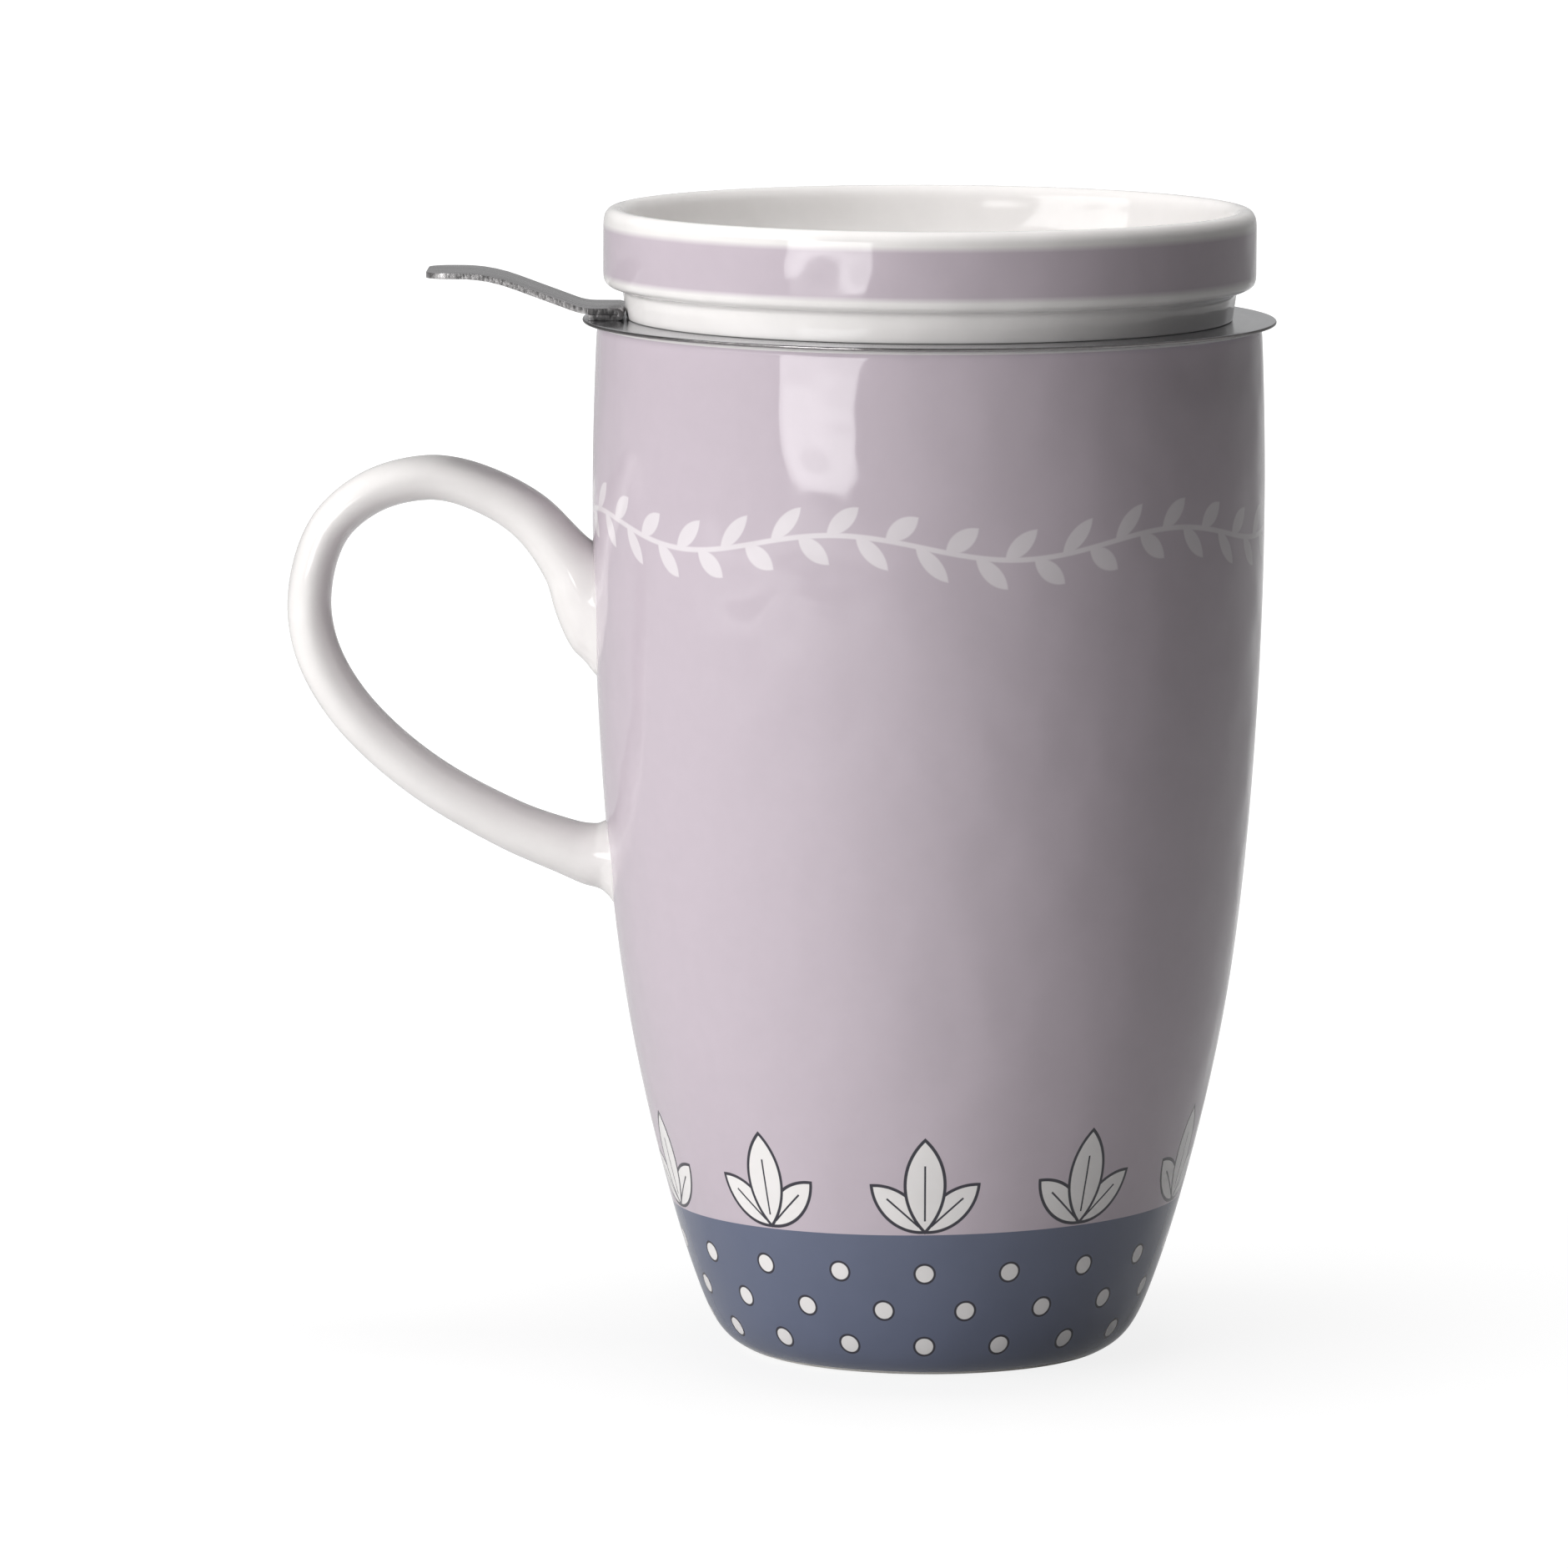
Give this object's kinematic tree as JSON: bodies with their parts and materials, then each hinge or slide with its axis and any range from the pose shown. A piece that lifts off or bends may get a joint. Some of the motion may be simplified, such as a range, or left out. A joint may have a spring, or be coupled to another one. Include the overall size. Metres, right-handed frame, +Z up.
{
  "type": "lidded tea mug with infuser",
  "caption": "Tall tapered porcelain tea mug with a loop handle, a lift-out steel infuser basket hung by a flat flange, and a dished lid that stands on the flange.",
  "frame": {"origin": "centre of the mug's base, on the table", "axes": "+Z up along the mug's axis; the mug's handle and the infuser's handle point to -X; the front of the mug faces -Y"},
  "size_m": [0.1291, 0.0904, 0.15],
  "materials": {
    "lilac_glaze": "gloss",
    "white_glaze": "gloss",
    "brushed_steel": "brushed"
  },
  "bodies": {
    "mug": {"mug_body": "lilac_glaze", "mug_handle": "white_glaze"},
    "infuser": {"strainer_rim": "brushed_steel", "strainer_wall": "brushed_steel", "strainer_floor": "brushed_steel", "strainer_handle": "brushed_steel"},
    "lid": {"lid": "white_glaze"}
  },
  "joints": [
    {"name": "infuser_lift", "type": "slide", "parent": "mug", "child": "infuser", "axis": [0, 0, 1], "range_m": [0, 0.11]},
    {"name": "lid_lift", "type": "slide", "parent": "infuser", "child": "lid", "axis": [0, 0, 1], "range_m": [0, 0.06]}
  ]
}
